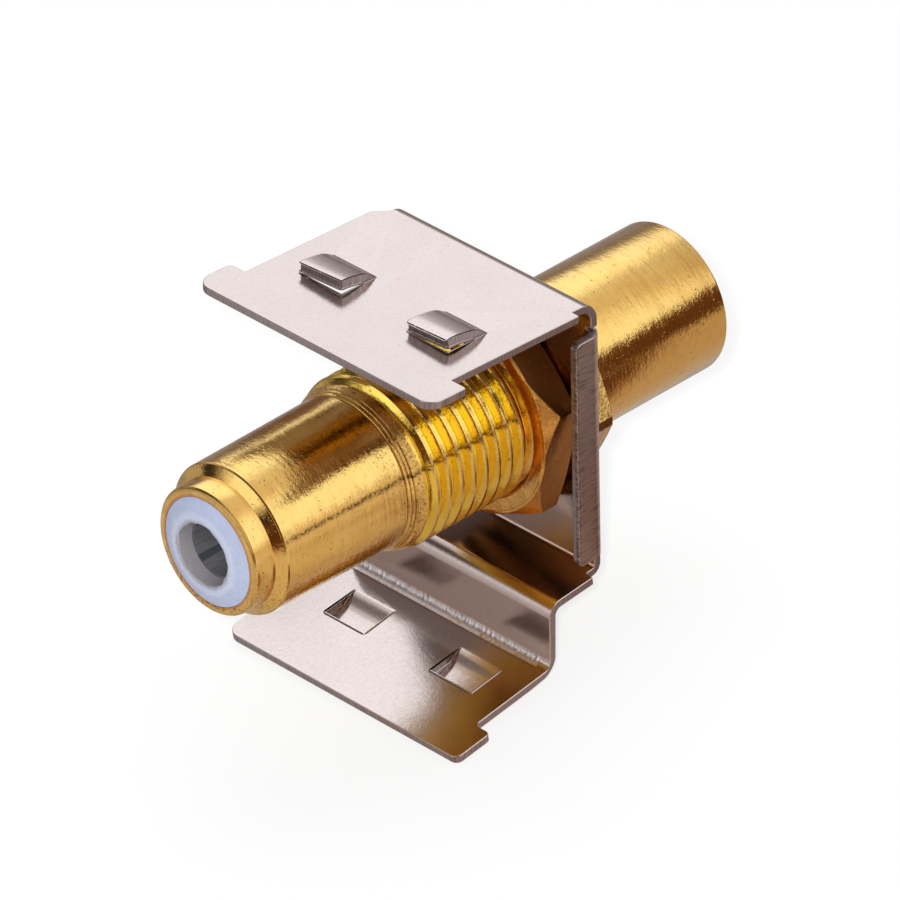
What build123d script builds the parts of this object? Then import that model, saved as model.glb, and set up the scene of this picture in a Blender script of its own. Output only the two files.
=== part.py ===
from build123d import *
import os
from math import cos, radians, sin, tan

# Keystone bracket of folded sheet that carries a double-ended phono coupler.
# The coupler's axis is Y and the plate's outer face is y = 0. The nose points
# to -Y, the plain rear barrel to +Y, and +Z is up. All lengths are millimetres.

# Clearances
press_gap = 0.01
running_gap = 0.05
hole_gap = 0.15
relief_gap = 0.12

# Bracket: one sheet, folded
sheet = 0.45
bracket_half_width = 7.25
strip_half_width = 6.75
flange_depth = 2.0
flange_top = 6.5
flange_bottom = -6.6
flange_bend = 0.4
flange_corner = 0.35

# Upper leaf, which rises a little towards its free end
upper_leaf_height = 8.15
upper_leaf_front = -13.07
upper_leaf_tilt = 2.5
upper_bend = 0.7
leaf_shoulder = -1.75
ear_half_width = 8.3
ear_length = 2.45
ear_front_corner = 0.8
ear_rear_corner = 0.25

# Lower leaf: a short ledge, a riser, and the leaf that slopes down
ledge_height = -7.72
ledge_tilt = 5.1
riser_y = -3.95
riser_bend = 0.4
plate_bottom_bend = 0.2
lower_leaf_depth = -11.75
lower_leaf_tilt = 8.15
lower_leaf_front = -11.88
lower_bend = 0.5
lower_bend_outer = 1.45
lower_ear_length = 2.4

# Lanced tabs, two in each leaf
tab_offset = 3.85
tab_width = 2.8
tab_rise = 0.68
tab_shoulder_reach = 0.95
upper_tab_hinge = -6.15
upper_tab_front = -8.85
lower_tab_hinge = -5.6
lower_tab_front = -7.9

# Turned coupler body
thread_radius = 4.76
thread_pitch = 0.85
thread_depth = 0.45
barrel_radius = 4.15
nose_radius = 3.5
nose_front = -20.5
nose_edge = 0.2
nose_length = 1.26
front_chamfer = 0.31
barrel_edge = 0.08
thread_start = -9.55
lead_in_length = 0.85
body_flange_thickness = 2.0
body_flange_across_flats = 10.8
body_flange_turned_radius = 6.1
body_flange_corner_angle = 0
rear_barrel_end = 11.97
rear_edge = 0.15

# Hexagonal nut
nut_thickness = 2.3
nut_flat_wall = 0.83
nut_corner_angle = 17.4
nut_front_chamfer_angle = 38
nut_rear_chamfer_angle = 23
nut_front_face_wall = 0.91
nut_rear_face_wall = 0.27
nut_countersink = 0.12

# Insulators and the contact between them
insulator_radius = 2.975
insulator_dome = 0.35
insulator_edge = 0.12
lip_hole_radius = 1.7
lip_length = 0.95
web_front = -7.0
web_rear = -1.0
web_bore_radius = 2.4
contact_outer_radius = 1.95
contact_bore_radius = 1.6
contact_bore_depth = 9.0
contact_slit_width = 0.35
contact_slit_depth = 7.0
contact_slit_angle = 45

# Values that follow from the sizes above
bore_radius = insulator_radius + press_gap
chamfer_back = nose_front + nose_length
barrel_front = chamfer_back + front_chamfer
barrel_back = thread_start - lead_in_length
contact_front = nose_front - insulator_dome + lip_length
contact_rear = rear_barrel_end - lip_length
plate_mid = -sheet / 2
nut_bore_radius = thread_radius + press_gap
nut_half_flats = nut_bore_radius + nut_flat_wall
nut_corner_radius = nut_half_flats / cos(radians(30)) + press_gap
nut_front_face_radius = nut_bore_radius + nut_front_face_wall
nut_rear_face_radius = nut_bore_radius + nut_rear_face_wall
nut_seat = -sheet
nut_front = nut_seat - nut_thickness


def leaf_normal(tilt):
    """Unit vector along a leaf towards its free end, and the one out of its upper face."""
    along = (-cos(radians(tilt)), sin(radians(tilt)))
    outward = (sin(radians(tilt)), cos(radians(tilt)))
    return along, outward


def upper_mid(y):
    """Height of the upper leaf's middle surface at a given y."""
    return upper_leaf_height - sheet / 2 - y * tan(radians(upper_leaf_tilt))


def lower_mid(y):
    """Height of the lower leaf's middle surface at a given y."""
    return lower_leaf_depth + (y - riser_y) * tan(radians(lower_leaf_tilt))


def tab_path(hinge, front, height, tilt, side):
    """Middle line of a lanced tab: steep at its hinge, almost level at its raised free end."""
    along, outward = leaf_normal(tilt)
    reach = (hinge - front) - running_gap
    levelling = tab_rise * tab_shoulder_reach / (2 * reach)
    stations = ((-sheet, 0), (0, 0), (tab_shoulder_reach, tab_rise - levelling), (reach, tab_rise))
    return [
        (hinge + s * along[0] + side * h * outward[0], height + s * along[1] + side * h * outward[1])
        for s, h in stations
    ]


# Envelope: how wide the sheet is at each place, seen from above and from below
with BuildPart() as outline:
    with BuildSketch(Plane.XY) as upper_outline:
        with Locations((0, upper_leaf_front)):
            Rectangle(2 * ear_half_width, ear_length, align=(Align.CENTER, Align.MIN))
            Rectangle(
                2 * bracket_half_width, leaf_shoulder - upper_leaf_front, align=(Align.CENTER, Align.MIN)
            )
            Rectangle(2 * strip_half_width, sheet - upper_leaf_front, align=(Align.CENTER, Align.MIN))
        ear_corners = upper_outline.vertices().filter_by(lambda v: abs(v.X) > bracket_half_width + sheet)
        fillet(ear_corners.filter_by(lambda v: v.Y < upper_leaf_front + ear_length / 2), ear_front_corner)
        rear_corners = upper_outline.vertices().filter_by(
            lambda v: abs(v.X) > bracket_half_width + sheet and v.Y > upper_leaf_front + ear_length / 2
        )
        fillet(rear_corners, ear_rear_corner)
    extrude(amount=2 * upper_leaf_height)
    with BuildSketch(Plane.XY) as lower_outline:
        with Locations((0, lower_leaf_front)):
            Rectangle(2 * ear_half_width, lower_ear_length, align=(Align.CENTER, Align.MIN))
            Rectangle(
                2 * bracket_half_width, leaf_shoulder - lower_leaf_front, align=(Align.CENTER, Align.MIN)
            )
            Rectangle(2 * strip_half_width, sheet - lower_leaf_front, align=(Align.CENTER, Align.MIN))
        ear_corners = lower_outline.vertices().filter_by(lambda v: abs(v.X) > bracket_half_width + sheet)
        fillet(ear_corners.filter_by(lambda v: v.Y < lower_leaf_front + lower_ear_length / 2), ear_front_corner)
        rear_corners = lower_outline.vertices().filter_by(
            lambda v: abs(v.X) > bracket_half_width + sheet and v.Y > lower_leaf_front + lower_ear_length / 2
        )
        fillet(rear_corners, ear_rear_corner)
    extrude(amount=2 * lower_leaf_depth)

# Bracket
with BuildPart() as bracket:
    half_sheet = sheet / 2
    ledge_end = ledge_height + (riser_y - plate_mid) * tan(radians(ledge_tilt))
    with BuildSketch(Plane.YZ):
        with BuildLine():
            FilletPolyline(
                (upper_leaf_front, upper_mid(upper_leaf_front)),
                (plate_mid, upper_mid(plate_mid)),
                (plate_mid, ledge_height),
                (riser_y, ledge_end),
                (riser_y, lower_leaf_depth),
                (lower_leaf_front, lower_mid(lower_leaf_front)),
                radius=[
                    upper_bend + half_sheet,
                    plate_bottom_bend + half_sheet,
                    riser_bend + half_sheet,
                    lower_bend + half_sheet,
                ],
            )
        trace(line_width=sheet)
    extrude(amount=2 * ear_half_width, both=True)
    add(outline.part, mode=Mode.INTERSECT)

    # The bend below the riser is coined thinner, so its outer side has a larger radius
    slope = radians(lower_leaf_tilt)
    corner_y = riser_y + half_sheet
    corner_z = lower_mid(corner_y) - half_sheet / cos(slope)
    centre_y = corner_y - lower_bend_outer
    centre_z = corner_z + lower_bend_outer * (1 - sin(slope)) / cos(slope)
    with BuildSketch(Plane.YZ):
        with BuildLine():
            Polyline(
                (corner_y, corner_z),
                (corner_y, centre_z),
                (centre_y, centre_z),
                (centre_y + lower_bend_outer * sin(slope), centre_z - lower_bend_outer * cos(slope)),
                close=True,
            )
        make_face()
        with Locations((centre_y, centre_z)):
            Circle(lower_bend_outer, mode=Mode.SUBTRACT)
    extrude(amount=2 * ear_half_width, both=True, mode=Mode.SUBTRACT)

    # Windows that the tabs are lanced from
    for x in (-tab_offset, tab_offset):
        for hinge, front, height in (
            (upper_tab_hinge, upper_tab_front, upper_leaf_height),
            (lower_tab_hinge, lower_tab_front, lower_leaf_depth),
        ):
            with BuildSketch(Plane.XY.offset(height - 4 * sheet)):
                with Locations((x, (hinge + front) / 2)):
                    Rectangle(tab_width + 2 * running_gap, hinge - front)
            extrude(amount=8 * sheet, mode=Mode.SUBTRACT)

    # The tabs themselves, pushed up in the upper leaf and down in the lower one
    tab_lines = (
        tab_path(upper_tab_hinge, upper_tab_front, upper_mid(upper_tab_hinge), upper_leaf_tilt, 1),
        tab_path(lower_tab_hinge, lower_tab_front, lower_mid(lower_tab_hinge), -lower_leaf_tilt, -1),
    )
    for x in (-tab_offset, tab_offset):
        for points in tab_lines:
            with BuildSketch(Plane.YZ.offset(x)):
                with BuildLine():
                    FilletPolyline(*points, radius=2 * sheet)
                trace(line_width=sheet)
            extrude(amount=tab_width / 2, both=True)

    # Room at both sides of the plate for the side flanges
    for side in (-1, 1):
        edge = side * (bracket_half_width - flange_bend - sheet)
        with BuildSketch(Plane.XZ.offset(-sheet)):
            with Locations((edge, (flange_top + flange_bottom) / 2)):
                Rectangle(
                    4 * sheet,
                    flange_top - flange_bottom + 2 * relief_gap,
                    align=(Align.MIN if side > 0 else Align.MAX, Align.CENTER),
                )
        extrude(amount=flange_depth, mode=Mode.SUBTRACT)

    # Side flanges, folded forward from the plate
    for side in (-1, 1):
        inner_edge = side * (bracket_half_width - flange_bend - sheet)
        with BuildSketch(Plane.XY.offset(flange_bottom)):
            with BuildLine():
                FilletPolyline(
                    (inner_edge - side * sheet, plate_mid),
                    (side * (bracket_half_width - half_sheet), plate_mid),
                    (side * (bracket_half_width - half_sheet), -flange_depth),
                    radius=flange_bend + half_sheet,
                )
            trace(line_width=sheet)
        extrude(amount=flange_top - flange_bottom)
    flange_ends = bracket.edges().filter_by(Axis.X).filter_by(
        lambda e: abs(e.center().Y + flange_depth) < press_gap and abs(e.center().X) > strip_half_width
    )
    fillet(flange_ends, flange_corner)

    # Hole for the threaded neck
    with BuildSketch(Plane.XZ):
        Circle(thread_radius + hole_gap)
    extrude(amount=2 * sheet, both=True, mode=Mode.SUBTRACT)

# Coupler body: flange, barrels and thread turned from one bar
with BuildPart() as coupler_body:
    with BuildSketch(Plane.XZ):
        RegularPolygon(
            body_flange_across_flats / 2,
            6,
            major_radius=False,
            rotation=body_flange_corner_angle,
        )
    extrude(amount=-body_flange_thickness)
    with BuildSketch(Plane.XY):
        with BuildLine():
            corner_drop = (body_flange_turned_radius - body_flange_across_flats / 2 + relief_gap) * tan(
                radians(nut_rear_chamfer_angle)
            )
            Polyline(
                (0, 0),
                (body_flange_across_flats / 2 - relief_gap, 0),
                (body_flange_turned_radius, corner_drop),
                (body_flange_turned_radius, body_flange_thickness - corner_drop),
                (body_flange_across_flats / 2 - relief_gap, body_flange_thickness),
                (0, body_flange_thickness),
                close=True,
            )
        make_face()
    revolve(axis=Axis.Y, mode=Mode.INTERSECT)

    # Rear barrel and front barrel with its nose
    with BuildSketch(Plane.XY):
        with BuildLine():
            Polyline(
                (0, nose_front),
                (nose_radius - nose_edge, nose_front),
                (nose_radius, nose_front + nose_edge),
                (nose_radius, chamfer_back),
                (barrel_radius - barrel_edge, barrel_front),
                (barrel_radius, barrel_front + barrel_edge),
                (barrel_radius, barrel_back),
                (thread_radius - thread_depth, thread_start - lead_in_length / 2),
                (thread_radius - thread_depth, body_flange_thickness / 2),
                (barrel_radius, body_flange_thickness / 2),
                (barrel_radius, rear_barrel_end - rear_edge),
                (barrel_radius - rear_edge, rear_barrel_end),
                (0, rear_barrel_end),
                close=True,
            )
        make_face()
    revolve(axis=Axis.Y)

    # Thread ridges, each with a narrow crest and a 60 degree flank on both sides
    flank = thread_depth * tan(radians(30))
    ridge_count = int((-thread_start - flank) // thread_pitch) + 1
    with BuildSketch(Plane.XY):
        for i in range(ridge_count):
            crest = thread_start + flank + i * thread_pitch
            with BuildLine():
                Polyline(
                    (thread_radius - 2 * thread_depth, crest - 2 * flank),
                    (thread_radius, crest - flank * 0.15),
                    (thread_radius, crest + flank * 0.15),
                    (thread_radius - 2 * thread_depth, crest + 2 * flank),
                    close=True,
                )
            make_face()
    revolve(axis=Axis.Y)

    # Bores for both insulators, and the narrower web that they rest on
    with BuildSketch(Plane.XY):
        with Locations((0, nose_front)):
            Rectangle(bore_radius, web_front - nose_front, align=(Align.MIN, Align.MIN))
        with Locations((0, web_rear)):
            Rectangle(bore_radius, rear_barrel_end - web_rear, align=(Align.MIN, Align.MIN))
        with Locations((0, web_front)):
            Rectangle(web_bore_radius, web_rear - web_front, align=(Align.MIN, Align.MIN))
    revolve(axis=Axis.Y, mode=Mode.SUBTRACT)

# Nut that clamps the plate against the body's flange
with BuildPart() as hex_nut:
    with BuildSketch(Plane.XZ.offset(-nut_seat)):
        RegularPolygon(nut_half_flats, 6, major_radius=False, rotation=nut_corner_angle)
    extrude(amount=nut_thickness)
    with BuildSketch(Plane.XY):
        rear_drop = (nut_corner_radius - nut_rear_face_radius) * tan(radians(nut_rear_chamfer_angle))
        front_drop = (nut_corner_radius - nut_front_face_radius) * tan(radians(nut_front_chamfer_angle))
        with BuildLine():
            Polyline(
                (0, nut_front),
                (nut_front_face_radius, nut_front),
                (nut_corner_radius, nut_front + front_drop),
                (nut_corner_radius, nut_seat - rear_drop),
                (nut_rear_face_radius, nut_seat),
                (0, nut_seat),
                close=True,
            )
        make_face()
    revolve(axis=Axis.Y, mode=Mode.INTERSECT)
    with BuildSketch(Plane.XY):
        with BuildLine():
            Polyline(
                (0, nut_front),
                (nut_bore_radius + nut_countersink, nut_front),
                (nut_bore_radius, nut_front + nut_countersink),
                (nut_bore_radius, nut_seat),
                (0, nut_seat),
                close=True,
            )
        make_face()
    revolve(axis=Axis.Y, mode=Mode.SUBTRACT)

# Front insulator, with a low dome round the pin hole
with BuildPart() as front_insulator:
    with BuildSketch(Plane.XY):
        with BuildLine():
            Line((lip_hole_radius, contact_front), (lip_hole_radius, nose_front - insulator_dome + insulator_edge))
            Line(
                (lip_hole_radius, nose_front - insulator_dome + insulator_edge),
                (lip_hole_radius + insulator_edge, nose_front - insulator_dome),
            )
            Spline(
                (lip_hole_radius + insulator_edge, nose_front - insulator_dome),
                (insulator_radius, nose_front),
                tangents=[(1, 0.1), (1, 0.35)],
            )
            Line((insulator_radius, nose_front), (insulator_radius, web_front - press_gap))
            Line(
                (insulator_radius, web_front - press_gap),
                (contact_outer_radius + press_gap, web_front - press_gap),
            )
            Line(
                (contact_outer_radius + press_gap, web_front - press_gap),
                (contact_outer_radius + press_gap, contact_front),
            )
            Line((contact_outer_radius + press_gap, contact_front), (lip_hole_radius, contact_front))
        make_face()
    revolve(axis=Axis.Y)

# Rear insulator, flush with the rear barrel's end
with BuildPart() as rear_insulator:
    with BuildSketch(Plane.XY):
        with BuildLine():
            Polyline(
                (lip_hole_radius, contact_rear),
                (contact_outer_radius + press_gap, contact_rear),
                (contact_outer_radius + press_gap, web_rear + press_gap),
                (insulator_radius, web_rear + press_gap),
                (insulator_radius, rear_barrel_end),
                (lip_hole_radius + insulator_edge, rear_barrel_end),
                (lip_hole_radius, rear_barrel_end - insulator_edge),
                close=True,
            )
        make_face()
    revolve(axis=Axis.Y)

# Centre contact: a rod bored from both ends, each end slit into four springs
with BuildPart() as centre_contact:
    with BuildSketch(Plane.XY):
        with Locations((0, contact_front + press_gap)):
            Rectangle(
                contact_outer_radius,
                contact_rear - contact_front - 2 * press_gap,
                align=(Align.MIN, Align.MIN),
            )
    revolve(axis=Axis.Y)
    with BuildSketch(Plane.XZ.offset(-contact_front)):
        Circle(contact_bore_radius)
    extrude(amount=-contact_bore_depth, mode=Mode.SUBTRACT)
    with BuildSketch(Plane.XZ.offset(-contact_rear)):
        Circle(contact_bore_radius)
    extrude(amount=contact_bore_depth, mode=Mode.SUBTRACT)
    for end, direction in ((contact_front, -1), (contact_rear, 1)):
        with BuildSketch(Plane.XZ.offset(-end)):
            Rectangle(3 * contact_outer_radius, contact_slit_width, rotation=contact_slit_angle)
            Rectangle(contact_slit_width, 3 * contact_outer_radius, rotation=contact_slit_angle)
        extrude(amount=direction * contact_slit_depth, mode=Mode.SUBTRACT)

# Files
bracket.part.label = "bracket"
coupler_body.part.label = "coupler_body"
hex_nut.part.label = "hex_nut"
front_insulator.part.label = "front_insulator"
rear_insulator.part.label = "rear_insulator"
centre_contact.part.label = "centre_contact"

os.makedirs("parts", exist_ok=True)
export_step(bracket.part, "parts/bracket.step")
export_step(coupler_body.part, "parts/coupler_body.step")
export_step(hex_nut.part, "parts/hex_nut.step")
export_step(front_insulator.part, "parts/front_insulator.step")
export_step(rear_insulator.part, "parts/rear_insulator.step")
export_step(centre_contact.part, "parts/centre_contact.step")
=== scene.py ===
from math import acos, atan2, cos, degrees, pi, radians, sin, tan

import bpy
import numpy as np
from bpy.props import FloatProperty, FloatVectorProperty, PointerProperty
from mathutils import Matrix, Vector
from mathutils.geometry import delaunay_2d_cdt


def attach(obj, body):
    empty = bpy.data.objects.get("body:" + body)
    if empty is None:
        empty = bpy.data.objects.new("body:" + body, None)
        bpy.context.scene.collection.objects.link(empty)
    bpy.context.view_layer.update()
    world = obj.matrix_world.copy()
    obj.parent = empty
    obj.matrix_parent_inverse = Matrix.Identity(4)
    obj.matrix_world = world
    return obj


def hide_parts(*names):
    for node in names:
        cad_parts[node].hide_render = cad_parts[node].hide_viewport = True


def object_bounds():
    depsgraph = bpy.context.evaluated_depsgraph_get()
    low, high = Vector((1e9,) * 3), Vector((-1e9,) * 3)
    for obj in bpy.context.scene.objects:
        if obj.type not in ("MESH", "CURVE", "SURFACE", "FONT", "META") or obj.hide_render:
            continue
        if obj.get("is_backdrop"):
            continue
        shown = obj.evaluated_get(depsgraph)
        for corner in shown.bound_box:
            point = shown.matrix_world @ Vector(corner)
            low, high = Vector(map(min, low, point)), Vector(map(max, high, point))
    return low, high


# Double-ended phono coupler in a folded keystone bracket. The coupler's axis is Y, the
# plate's outer face is y = 0, the nose points to -Y and +Z is up. Shapes are worked out
# in millimetres and their meshes are in metres.

bl_info = {
    "name": "Keystone phono coupler",
    "version": (1, 0, 0),
    "blender": (4, 5, 0),
    "location": "3D View > Sidebar > Coupler",
    "description": "Builds a folded keystone bracket with its turned phono coupler",
    "category": "Add Mesh",
}

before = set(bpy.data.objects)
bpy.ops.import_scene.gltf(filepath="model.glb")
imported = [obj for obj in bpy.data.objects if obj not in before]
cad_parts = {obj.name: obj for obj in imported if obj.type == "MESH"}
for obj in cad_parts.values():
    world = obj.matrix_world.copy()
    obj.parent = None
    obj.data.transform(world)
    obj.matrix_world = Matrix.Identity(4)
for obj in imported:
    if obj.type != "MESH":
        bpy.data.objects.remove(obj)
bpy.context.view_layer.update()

MM = 0.001

# Places along the axis and radii that several pieces share, in millimetres.
NOSE_FACE, REAR_END, PLATE_INSIDE = -20.5, 11.97, -0.45
BORE, CONTACT_BORE, NUT_BORE = 2.985, 1.96, 4.77
THREAD_START, THREAD_END = -10.36, -1.3
GROOVES = (-10.83, -10.63, -10.43)


# ---- Sizes and finishes ----

def length(name, text, value):
    """A length property whose default is given in millimetres and kept in metres."""
    return FloatProperty(name=name, description=text, default=value * MM, unit="LENGTH", precision=5)


def colour(name, text, value):
    """A colour property."""
    return FloatVectorProperty(
        name=name, description=text, default=value, subtype="COLOR", size=3, min=0, max=1
    )


def factor(name, text, value, top=1.0):
    """A plain number from 0 to top."""
    return FloatProperty(name=name, description=text, default=value, min=0, max=top, subtype="FACTOR")


def power(name, text, value):
    """A lamp's power in watts."""
    return FloatProperty(name=name, description=text, default=value, unit="POWER")


class BracketSizes(bpy.types.PropertyGroup):
    sheet: length("Sheet", "Thickness of the folded sheet", 0.45)
    half_width: length("Half width", "Half the width of both leaves", 7.25)
    strip: length("Strip", "Half the width of the sheet at its bends", 6.75)
    ear: length("Ear", "Half the width across the ears", 8.3)
    edge: length("Edge", "Rounding of the sheet's edges", 0.05)
    tab_rise: length("Tab rise", "How far each lanced tab stands out", 0.68)
    steel: colour("Steel", "Satin nickel plate", (0.72, 0.605, 0.545))
    sheared: colour("Sheared edge", "Bare edge of the cut sheet", (0.30, 0.255, 0.255))


class CouplerSizes(bpy.types.PropertyGroup):
    thread: length("Thread", "Radius of the thread's crests", 4.76)
    pitch: length("Pitch", "Distance between neighbouring crests", 0.85)
    depth: length("Depth", "Depth of the thread", 0.45)
    nose: length("Nose", "Radius of the nose", 3.5)
    barrel: length("Barrel", "Radius of the rear barrel", 4.15)
    gold: colour("Gold", "Gold flash on brass", (0.95, 0.63, 0.19))
    # The same brown also paints a dark reflection line on the barrel and shade on the nut's flats.
    stain_and_painted_shade: colour("Stain", "Brown tarnish in marks and specks", (0.19, 0.072, 0.022))


class NutSizes(bpy.types.PropertyGroup):
    thickness: length("Thickness", "Height of the nut", 2.3)
    half_flats: length("Half flats", "From the axis to each flat", 5.6)
    corner: FloatProperty(
        name="Corner angle",
        description="Where the nut stopped",
        default=radians(17.4),
        subtype="ANGLE",
    )
    gold: colour("Gold", "Gold flash on the nut", (1.0, 0.55, 0.142))


class InsulatorSizes(bpy.types.PropertyGroup):
    outer: length("Outer radius", "Radius of both insulators", 2.975)
    hole: length("Hole", "Radius of the hole in front of the contact", 1.7)
    dome: length("Dome", "How far the front insulator stands proud", 0.35)
    plastic: colour("Plastic", "Cool white plastic", (0.375, 0.422, 0.57))
    tin: colour("Contact", "Dull tin plate", (0.22, 0.22, 0.23))


class StageSizes(bpy.types.PropertyGroup):
    key: power("Key lamp", "Power of the soft lamp above", 0.5)
    fill: power("Front lamp", "Power of the lamp near the camera", 1.8)
    studio: factor("Studio", "Brightness of the studio that the metal reflects", 1.0, 4.0)


# ---- Meshes ----

def unit(vectors):
    """Each row divided by its length."""
    return vectors / np.maximum(np.linalg.norm(vectors, axis=-1, keepdims=True), 1e-12)


def grid_part(points, normals):
    """Part from a grid of points, rows by columns: each cell is split along one diagonal."""
    rows, columns = points.shape[:2]
    first = (np.arange(rows - 1)[:, None] * columns + np.arange(columns - 1)[None]).ravel()
    lower = np.stack([first, first + 1, first + columns + 1], axis=1)
    upper = np.stack([first, first + columns + 1, first + columns], axis=1)
    return points.reshape(-1, 3), np.concatenate([lower, upper]), normals.reshape(-1, 3)


def make_piece(name, parts, material, nodes, vectors=()):
    """One mesh object from parts of (points, triangles, normals) in millimetres.

    Collapsed triangles are dropped, each triangle is turned to face along its corners'
    normals, points that fall together are merged, and each corner keeps its own normal.
    """
    starts = np.cumsum([0] + [len(part[0]) for part in parts[:-1]])
    points = np.concatenate([part[0] for part in parts])
    normals = unit(np.concatenate([part[2] for part in parts]))
    corners = np.concatenate([part[1] + start for part, start in zip(parts, starts)])
    first, index = np.unique(np.round(points, 4), axis=0, return_index=True, return_inverse=True)[1:]
    merged = index.ravel()[corners]
    whole = (
        (merged[:, 0] != merged[:, 1]) & (merged[:, 1] != merged[:, 2]) & (merged[:, 2] != merged[:, 0])
    )
    corners = corners[whole]
    a, b, c = (points[corners[:, k]] for k in range(3))
    facing = np.cross(b - a, c - a)
    turned = (facing * normals[corners].sum(axis=1)).sum(axis=1) < 0
    corners[turned] = corners[turned][:, ::-1]
    faces = index.ravel()[corners]

    mesh = bpy.data.meshes.new(name)
    mesh.vertices.add(len(first))
    mesh.vertices.foreach_set("co", (points[first] * MM).ravel())
    mesh.loops.add(faces.size)
    mesh.loops.foreach_set("vertex_index", faces.ravel())
    mesh.polygons.add(len(faces))
    mesh.polygons.foreach_set("loop_start", np.arange(0, faces.size, 3))
    mesh.polygons.foreach_set("loop_total", np.full(len(faces), 3))
    for key, values in vectors:
        attribute = mesh.attributes.new(key, "FLOAT_VECTOR", "POINT")
        attribute.data.foreach_set("vector", values[first].ravel())
    mesh.update(calc_edges=True)
    mesh.normals_split_custom_set(normals[corners].reshape(-1, 3).tolist())
    mesh.materials.append(material)
    piece = bpy.data.objects.new(name, mesh)
    bpy.context.scene.collection.objects.link(piece)
    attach(piece, "root")
    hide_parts(*nodes)
    return piece


# ---- Turned shapes ----

def bevelled(profile, edge=0.03, smooth=25):
    """Rows for a turned profile of (y, r) points, each with its normal.

    A corner sharper than smooth degrees becomes two rows, edge away on both sides, that
    keep their own side's normal. A gentler corner stays one row with the mean normal.
    """
    points = np.array(profile, float)
    runs = np.diff(points, axis=0)
    lengths = np.linalg.norm(runs, axis=1)
    along = runs / lengths[:, None]
    side = np.stack([-along[:, 1], along[:, 0]], axis=1)
    rows, facing = [points[0]], [side[0]]
    for k in range(1, len(points) - 1):
        bend = degrees(acos(np.clip(along[k - 1] @ along[k], -1, 1)))
        if bend < smooth:
            rows.append(points[k])
            facing.append(side[k - 1] + side[k])
        else:
            reach = min(edge, lengths[k - 1] * 0.4, lengths[k] * 0.4)
            rows.extend([points[k] - reach * along[k - 1], points[k] + reach * along[k]])
            facing.extend([side[k - 1], side[k]])
    return np.array(rows + [points[-1]]), unit(np.array(facing + [side[-1]]))


def turned_part(profile, angles, edge=0.03):
    """Surface of revolution about Y: (r cos t, y, r sin t) for each row (y, r) and angle t.

    A profile that runs towards +Y has its outer side at larger r.
    """
    rows, facing = bevelled(profile, edge)
    y, r = rows[:, 0, None], rows[:, 1, None]
    t = angles[None]
    points = np.stack([r * np.cos(t), y + 0 * t, r * np.sin(t)], axis=-1)
    across, outwards = facing[:, 0, None], facing[:, 1, None]
    normals = np.stack([outwards * np.cos(t), across + 0 * t, outwards * np.sin(t)], axis=-1)
    return grid_part(points, normals)


def hexagon_angles(corner, breaks, count):
    """Angles all round, every turn / count, and just beside each break from each corner."""
    evenly = np.linspace(0, 2 * pi, count, endpoint=False)
    near = (corner + np.arange(6)[:, None] * pi / 3 + np.asarray(breaks)[None]).ravel() % (2 * pi)
    gap = np.abs((evenly[:, None] - near[None] + pi) % (2 * pi) - pi).min(axis=1)
    kept = np.sort(np.concatenate([evenly[gap > radians(0.4)], near]))
    return np.append(kept, kept[0] + 2 * pi)


def hexagon_part(angles, corner, half_flats, limit, front, rear, edge=0.03):
    """Hexagonal prism about Y, turned to a cone at both ends.

    front and rear are (y, inner radius, face radius, slope): the ring from the inner radius
    to the face radius is flat, and from there the cone falls back by slope per unit of
    radius until it meets the flats, half_flats / cos(angle from the flat's middle).
    """
    from_flat = (angles - corner) % (pi / 3) - pi / 6
    reach = half_flats / np.cos(from_flat)
    turned = reach > limit
    reach = np.minimum(reach, limit)
    facing = np.where(turned, angles, angles - from_flat)
    rows, normals = [], []
    radial = np.stack([np.cos(angles), 0 * angles, np.sin(angles)], axis=-1)
    outward = np.stack([np.cos(facing), 0 * facing, np.sin(facing)], axis=-1)
    for (y, inner, face, slope), way in ((front, 1), (rear, -1)):
        lean = edge / np.hypot(1, slope)
        half = [
            (inner + 0 * reach, y + 0 * reach, 0, -way),
            (face - edge + 0 * reach, y + 0 * reach, 0, -way),
            (face + lean + 0 * reach, y + way * lean * slope + 0 * reach, slope, -way),
            (reach - lean, y + way * (reach - lean - face) * slope, slope, -way),
        ]
        ring = [np.stack([r * np.cos(angles), h, r * np.sin(angles)], axis=-1) for r, h, a, b in half]
        tilt = [unit(a * radial + np.array([0, b, 0])) for r, h, a, b in half]
        crest = y + way * (reach - face) * slope + way * edge
        ring.append(np.stack([reach * np.cos(angles), crest, reach * np.sin(angles)], axis=-1))
        tilt.append(outward)
        rows.extend(ring if way > 0 else ring[::-1])
        normals.extend(tilt if way > 0 else tilt[::-1])
    return grid_part(np.stack(rows), np.stack(normals))


# ---- Folded sheet ----

UPPER_FRONT, UPPER_HEIGHT, UPPER_TILT = -13.07, 8.15, radians(2.5)
LEDGE_HEIGHT, LEDGE_TILT, RISER_Y = -7.72, radians(5.1), -3.95
LOWER_FRONT, LOWER_DEPTH, LOWER_TILT = -11.88, -11.75, radians(8.15)
FLAP_TOP, FLAP_BOTTOM, FLAP_DEPTH, FLAP_BEND, RELIEF = 6.5, -6.6, 2.0, 0.4, 0.12
COINED_BEND, NECK_HOLE = 1.45, 4.91

# A lanced tab's slope at each reach from its hinge.
TAB_REACH = (0, 0.12, 0.32, 0.62, 1.1, 2.0, 2.45, 3)
TAB_SLOPE = (0, 0.35, 0.78, 0.74, 0.24, 0.13, 0.0, -0.35)


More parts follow.
